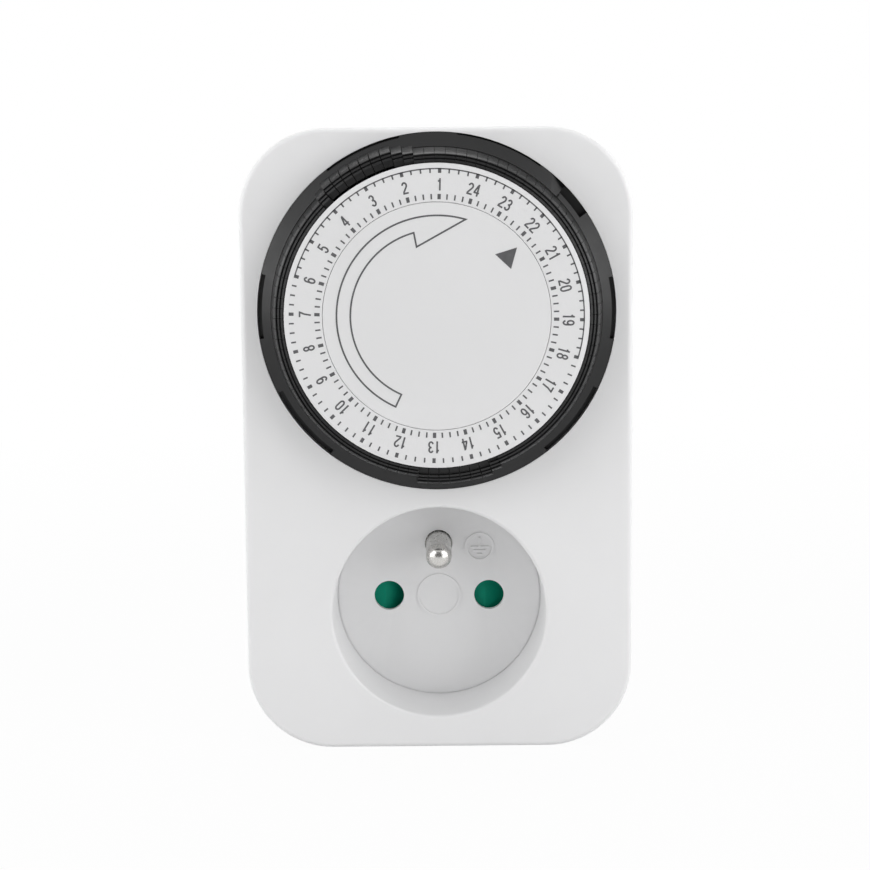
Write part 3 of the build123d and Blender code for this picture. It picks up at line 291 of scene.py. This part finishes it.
# ---- materials of the CAD nodes, by the record's slots ----
FINISHES = {
    "white_plastic": moulded("white_plastic", (0.86, 0.86, 0.865), 0.38, 0.012),
    "dark_plastic": moulded("dark_plastic", (0.005, 0.005, 0.0054), 0.34, 0.12, 1800.0, 0.10, 0.35),
    "tappet_plastic": moulded("tappet_plastic", (0.006, 0.006, 0.0064), 0.36, 0.15, 1800.0, 0.10, 0.42),
    "green_plastic": moulded("green_plastic", (0.0015, 0.215, 0.135), 0.42, 0.05, 2600.0, 0.08, 0.1),
    "nickel": metal("nickel", (0.62, 0.61, 0.59), 0.25, 0.04, (1, 0.12, 1), 5000.0, 0.003),
    "brass_sheet": metal("brass_sheet", (0.74, 0.56, 0.27), 0.30, 0.08, (1, 1, 0.08)),
    "screw_steel": metal("screw_steel", (0.56, 0.57, 0.58), 0.30, 0.08),
    "motor_steel": metal("motor_steel", (0.52, 0.52, 0.53), 0.36, 0.10, (0.1, 1, 1)),
    "inner_plastic": moulded("inner_plastic", (0.66, 0.64, 0.58), 0.50, 0.03),
    "gear_plastic": moulded("gear_plastic", (0.78, 0.75, 0.68), 0.36, 0.03),
    "copper_wire": wound("copper_wire", (0.62, 0.24, 0.10)),
    "magnet": metal("magnet", (0.10, 0.10, 0.11), 0.55, 0.20, None, 1200.0, 0.2),
    "lead_sleeve": moulded("lead_sleeve", (0.06, 0.06, 0.07), 0.45, 0.10),
}
dial_finish = moulded("dial_plastic", (0.80, 0.80, 0.805), 0.38, 0.012)
ink = printed("dial_ink", INK)

for row in frame["record"]["subparts"]:
    node = frame["nodes"][row["node"]]
    finish = FINISHES[row["material_slot"]]
    if row["node"] in DIAL_PIECES:
        finish = dial_finish
    if not node.material_slots:
        node.data.materials.append(finish)
    for place in node.material_slots:
        place.material = finish


# ---- dial print, as thin raised shapes ----
ring_low, ring_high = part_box("number_ring")
disc_low, disc_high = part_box("centre_disc")
dial_centre = (ring_low + ring_high) / 2
FACE_Y = ring_low.y


def dial_point(reach, clock):
    """X and Z in metres of a point at a reach in mm and a clock angle seen from the front."""
    angle = math.radians(clock)
    return (dial_centre.x + reach * MM * math.sin(angle), dial_centre.z + reach * MM * math.cos(angle))


def front_and_back():
    return FACE_Y - PRINT_PROUD * MM, FACE_Y + PRINT_SUNK * MM


class Shapes:
    """Collects closed thin shapes that lie on the dial's face into one mesh."""

    def __init__(self):
        self.points, self.faces = [], []

    def band(self, outer, inner, closed=False, sunk=0.0):
        """Strip between two rows of X, Z points."""
        front, back = front_and_back()
        front += sunk * MM
        base = len(self.points)
        count = len(outer)
        for (ox, oz), (ix, iz) in zip(outer, inner):
            self.points += [(ox, front, oz), (ix, front, iz), (ix, back, iz), (ox, back, oz)]
        steps = count if closed else count - 1
        for step in range(steps):
            a, b = base + 4 * step, base + 4 * ((step + 1) % count)
            for edge in range(4):
                near, far = edge, (edge + 1) % 4
                self.faces.append((a + near, a + far, b + far, b + near))
        if not closed:
            end = base + 4 * (count - 1)
            self.faces.append((base + 3, base + 2, base + 1, base))
            self.faces.append((end, end + 1, end + 2, end + 3))

    def polygon(self, corners):
        front, back = front_and_back()
        base, count = len(self.points), len(corners)
        self.points += [(x, front, z) for x, z in corners] + [(x, back, z) for x, z in corners]
        self.faces.append(tuple(base + step for step in reversed(range(count))))
        self.faces.append(tuple(base + count + step for step in range(count)))
        for step in range(count):
            after = (step + 1) % count
            self.faces.append((base + step, base + after, base + count + after, base + count + step))

    def tick(self, reach, clock, width):
        """Straight bar between two reaches, square to the dial's rim."""
        corners = []
        for end, side in ((0, -1), (1, -1), (1, 1), (0, 1)):
            turn = math.degrees(side * width / 2 / reach[end])
            corners.append(dial_point(reach[end], clock + turn))
        self.polygon(corners)

    def arc(self, low, high, start, end):
        steps = max(2, math.ceil((end - start) / ARC_STEP) + 1)
        clocks = [start + (end - start) * step / (steps - 1) for step in range(steps)]
        self.band([dial_point(high, clock) for clock in clocks],
                  [dial_point(low, clock) for clock in clocks])

    def line(self, corners, width, closed=False, sunk=0.0):
        """Line of a given width in mm along X, Z corners, with mitred joints."""
        corners = [Vector(corner) for corner in corners]
        last = len(corners) - 1
        outer, inner = [], []
        for index, corner in enumerate(corners):
            before = corner - corners[index - 1]
            after = corners[(index + 1) % len(corners)] - corner
            if not closed and index == 0:
                before = after
            if not closed and index == last:
                after = before
            before, after = before.normalized(), after.normalized()
            normal = Vector((-before.y - after.y, before.x + after.x)).normalized()
            reach = width * MM / 2 / max(MITRE_LIMIT, normal.dot(Vector((-before.y, before.x))))
            outer.append(tuple(corner + normal * reach))
            inner.append(tuple(corner - normal * reach))
        self.band(outer, inner, closed, sunk)

    def piece(self, name, body):
        mesh = bpy.data.meshes.new(name)
        mesh.from_pydata(self.points, [], self.faces)
        mesh.validate()
        mesh.materials.append(ink)
        made = bpy.data.objects.new(name, mesh)
        bpy.context.scene.collection.objects.link(made)
        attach(made, body)
        return made


# ---- numerals, each drawn as strokes about its own middle ----
def bow(x, z, wide, high, start, end):
    """Points along part of an oval, from one angle to another, counted anticlockwise from the right."""
    steps = max(2, math.ceil(abs(end - start) / BOW_STEP))
    angles = [math.radians(start + (end - start) * step / steps) for step in range(steps + 1)]
    return [(x + wide * math.cos(angle), z + high * math.sin(angle)) for angle in angles]


def oval(x, z, wide, high):
    return bow(x, z, wide, high, 0, 360)[:-1]


def six():
    hook = bow(0, 0.40, HALF_WIDTH, HALF_HEIGHT - 0.40, 20, 180)
    return [hook + [(-HALF_WIDTH, -0.36)], oval(0, -0.36, HALF_WIDTH, HALF_HEIGHT - 0.36)]


STROKES = {
    "0": [bow(0, 0.38, HALF_WIDTH, HALF_HEIGHT - 0.38, 0, 180)
          + bow(0, -0.38, HALF_WIDTH, HALF_HEIGHT - 0.38, 180, 360)],
    "1": [[(0.09, FOOT), (0.09, -FOOT)], [(-0.24, 0.53), (-0.06, 0.60), (0.04, 0.80)]],
    "2": [bow(0, 0.47, HALF_WIDTH, HALF_HEIGHT - 0.47, 175, -35)
          + [(-0.33, -0.70), (-0.35, -HALF_HEIGHT), (0.48, -HALF_HEIGHT)]],
    "3": [bow(0, 0.50, 0.33, HALF_HEIGHT - 0.50, 165, -90) + [(-0.10, 0.07)],
          [(-0.10, 0.05)] + bow(0, -0.44, HALF_WIDTH, HALF_HEIGHT - 0.44, 90, -165)],
    "4": [[(0.20, FOOT), (0.20, -FOOT)], [(0.12, 0.92), (-0.40, -0.42)], [(-0.50, -0.45), (0.50, -0.45)]],
    "5": [[(0.44, HALF_HEIGHT), (-0.24, HALF_HEIGHT), (-0.31, 0.02)],
          bow(0, -0.34, HALF_WIDTH, HALF_HEIGHT - 0.34, 150, -160)],
    "6": six(),
    "7": [[(-0.50, HALF_HEIGHT), (0.38, HALF_HEIGHT), (0.06, 0.10), (-0.12, -FOOT)]],
    "8": [oval(0, 0.48, 0.31, HALF_HEIGHT - 0.48), oval(0, -0.44, HALF_WIDTH, HALF_HEIGHT - 0.44)],
    "9": [[(-x, -z) for x, z in stroke] for stroke in six()],
}
CLOSED = {("0", 0), ("6", 1), ("8", 0), ("8", 1), ("9", 1)}


def numeral_point(clock, x, z):
    """X and Z in metres of a point in mm beside a numeral's middle, its top turned outwards."""
    angle = math.radians(clock)
    middle_x, middle_z = dial_point(NUMERAL_REACH, clock)
    return (middle_x + (x * math.cos(angle) + z * math.sin(angle)) * MM,
            middle_z + (z * math.cos(angle) - x * math.sin(angle)) * MM)


def numeral(shapes, text, clock):
    for place, digit in enumerate(text):
        shift = (place - (len(text) - 1) / 2) * NUMERAL_PITCH
        for order, stroke in enumerate(STROKES[digit]):
            corners = [numeral_point(clock, shift + x, z) for x, z in stroke]
            shapes.line(corners, NUMERAL_LINE, (digit, order) in CLOSED, order * STROKE_STEP)


ring_print = Shapes()
for quarter in range(QUARTERS):
    clock = REST_ANGLE + quarter * 360 / QUARTERS
    width = TICK_WIDTH if quarter % QUARTERS_PER_HOUR else HOUR_TICK_WIDTH
    ring_print.tick(INNER_TICK, clock, width)
    ring_print.tick(OUTER_TICK, clock, width)
ring_print.arc(*NIGHT_ARC, *NIGHT_CLOCKS)
for hour in range(1, 25):
    numeral(ring_print, str(hour), REST_ANGLE - HOUR_STEP * (hour - 1))
ring_print.piece("dial_scale_print", "dial")


def sweep_of_arrow(start, end, steps):
    """Points on a curve from one reach and clock angle to another."""
    points = []
    for step in range(steps + 1):
        share = step / steps
        reach, clock = (start[axis] + (end[axis] - start[axis]) * share for axis in (0, 1))
        points.append(dial_point(reach, clock))
    return points


disc_print = Shapes()
outer_side = sweep_of_arrow((ARROW_OUTER, ARROW_TAIL_CLOCK), ARROW_TIP, ARROW_STEPS[0])
inner_side = sweep_of_arrow(ARROW_NECK, (ARROW_INNER, ARROW_TAIL_CLOCK), ARROW_STEPS[1])
disc_print.line(outer_side + [dial_point(*ARROW_BARB)] + inner_side, ARROW_LINE, closed=True)
disc_print.polygon([dial_point(*spot) for spot in POINTER])
disc_print.piece("disc_arrow_print", "housing")


# ---- stage ----
floor_z = start_bounds[0].z
floor_mesh = bpy.data.meshes.new("floor")
floor_mesh.from_pydata([(x * FLOOR_REACH, y * FLOOR_REACH, floor_z) for x, y in
                        ((-1, -1), (1, -1), (1, 1), (-1, 1))], [], [(0, 1, 2, 3)])
floor = bpy.data.objects.new("floor", floor_mesh)
bpy.context.scene.collection.objects.link(floor)

# White to the camera, with the object's shadow near it; a plain matt floor to all other light.
material = bpy.data.materials.new("pale_floor")
material.use_nodes = True
tree = material.node_tree
tree.nodes.clear()
matt = tree.nodes.new("ShaderNodeBsdfDiffuse")
matt.inputs["Color"].default_value = (*FLOOR_TONE, 1)
distance = tree.nodes.new("ShaderNodeVectorMath")
distance.operation = "LENGTH"
tree.links.new(tree.nodes.new("ShaderNodeTexCoord").outputs["Object"], distance.inputs[0])
glow = ranged(tree, distance.outputs["Value"], FLOOR_GLOW, 1.0, FLOOR_FADE)
mix = tree.nodes.new("ShaderNodeMixShader")
tree.links.new(maths(tree, "MULTIPLY", shown_white(tree), glow), mix.inputs[0])
tree.links.new(matt.outputs[0], mix.inputs[1])
tree.links.new(tree.nodes.new("ShaderNodeEmission").outputs[0], mix.inputs[2])
tree.links.new(mix.outputs[0], tree.nodes.new("ShaderNodeOutputMaterial").inputs[0])
floor_mesh.materials.append(material)

# White all round, with a soft even light; reflections show the darker room in front of the object.
world = bpy.data.worlds.new("studio")
bpy.context.scene.world = world
world.use_nodes = True
tree = world.node_tree
sky = tree.nodes["Background"]
sky.inputs["Color"].default_value = (1, 1, 1, 1)
strength = maths(tree, "ADD", WORLD_LIGHT, maths(tree, "MULTIPLY", shown_white(tree), 1 - WORLD_LIGHT))
direction = tree.nodes.new("ShaderNodeSeparateXYZ")
tree.links.new(tree.nodes.new("ShaderNodeTexCoord").outputs["Generated"], direction.inputs[0])
room = ranged(tree, direction.outputs["Y"], 0.0, FRONT_DARKNESS, ROOM_EDGE)
mirrored = tree.nodes.new("ShaderNodeLightPath").outputs["Is Glossy Ray"]
kept = maths(tree, "SUBTRACT", 1.0, maths(tree, "MULTIPLY", room, mirrored))
tree.links.new(maths(tree, "MULTIPLY", strength, kept), sky.inputs["Strength"])

# ---- lamps ----
for name, (azimuth, elevation, size, power) in LAMPS.items():
    lamp = bpy.data.lights.new(name, "AREA")
    lamp.shape = "DISK"
    lamp.size = size
    lamp.energy = power
    holder = bpy.data.objects.new(name, lamp)
    bpy.context.scene.collection.objects.link(holder)
    level = math.cos(math.radians(elevation))
    towards = Vector((level * math.sin(math.radians(azimuth)), -level * math.cos(math.radians(azimuth)),
                      math.sin(math.radians(elevation))))
    holder.location = AIM + towards * LAMP_DISTANCE
    holder.rotation_mode = "QUATERNION"
    holder.rotation_quaternion = (-towards).to_track_quat("-Z", "Y")

# ---- camera ----
camera_data = bpy.data.cameras.new("camera")
camera_data.sensor_width = SENSOR_WIDTH
camera_data.lens = FOCAL_PIXELS / FRAME_PIXELS * camera_data.sensor_width
camera_data.clip_start = CLIP_START
camera = bpy.data.objects.new("camera", camera_data)
bpy.context.scene.collection.objects.link(camera)
away = Vector((0, -math.cos(CAMERA_PITCH), math.sin(CAMERA_PITCH)))
camera.location = AIM + away * CAMERA_DISTANCE
camera.rotation_mode = "QUATERNION"
roll = Matrix.Rotation(CAMERA_ROLL, 3, "Z").to_quaternion()
camera.rotation_quaternion = (-away).to_track_quat("-Z", "Y") @ roll
bpy.context.scene.camera = camera

bpy.context.scene.view_settings.view_transform = "Standard"
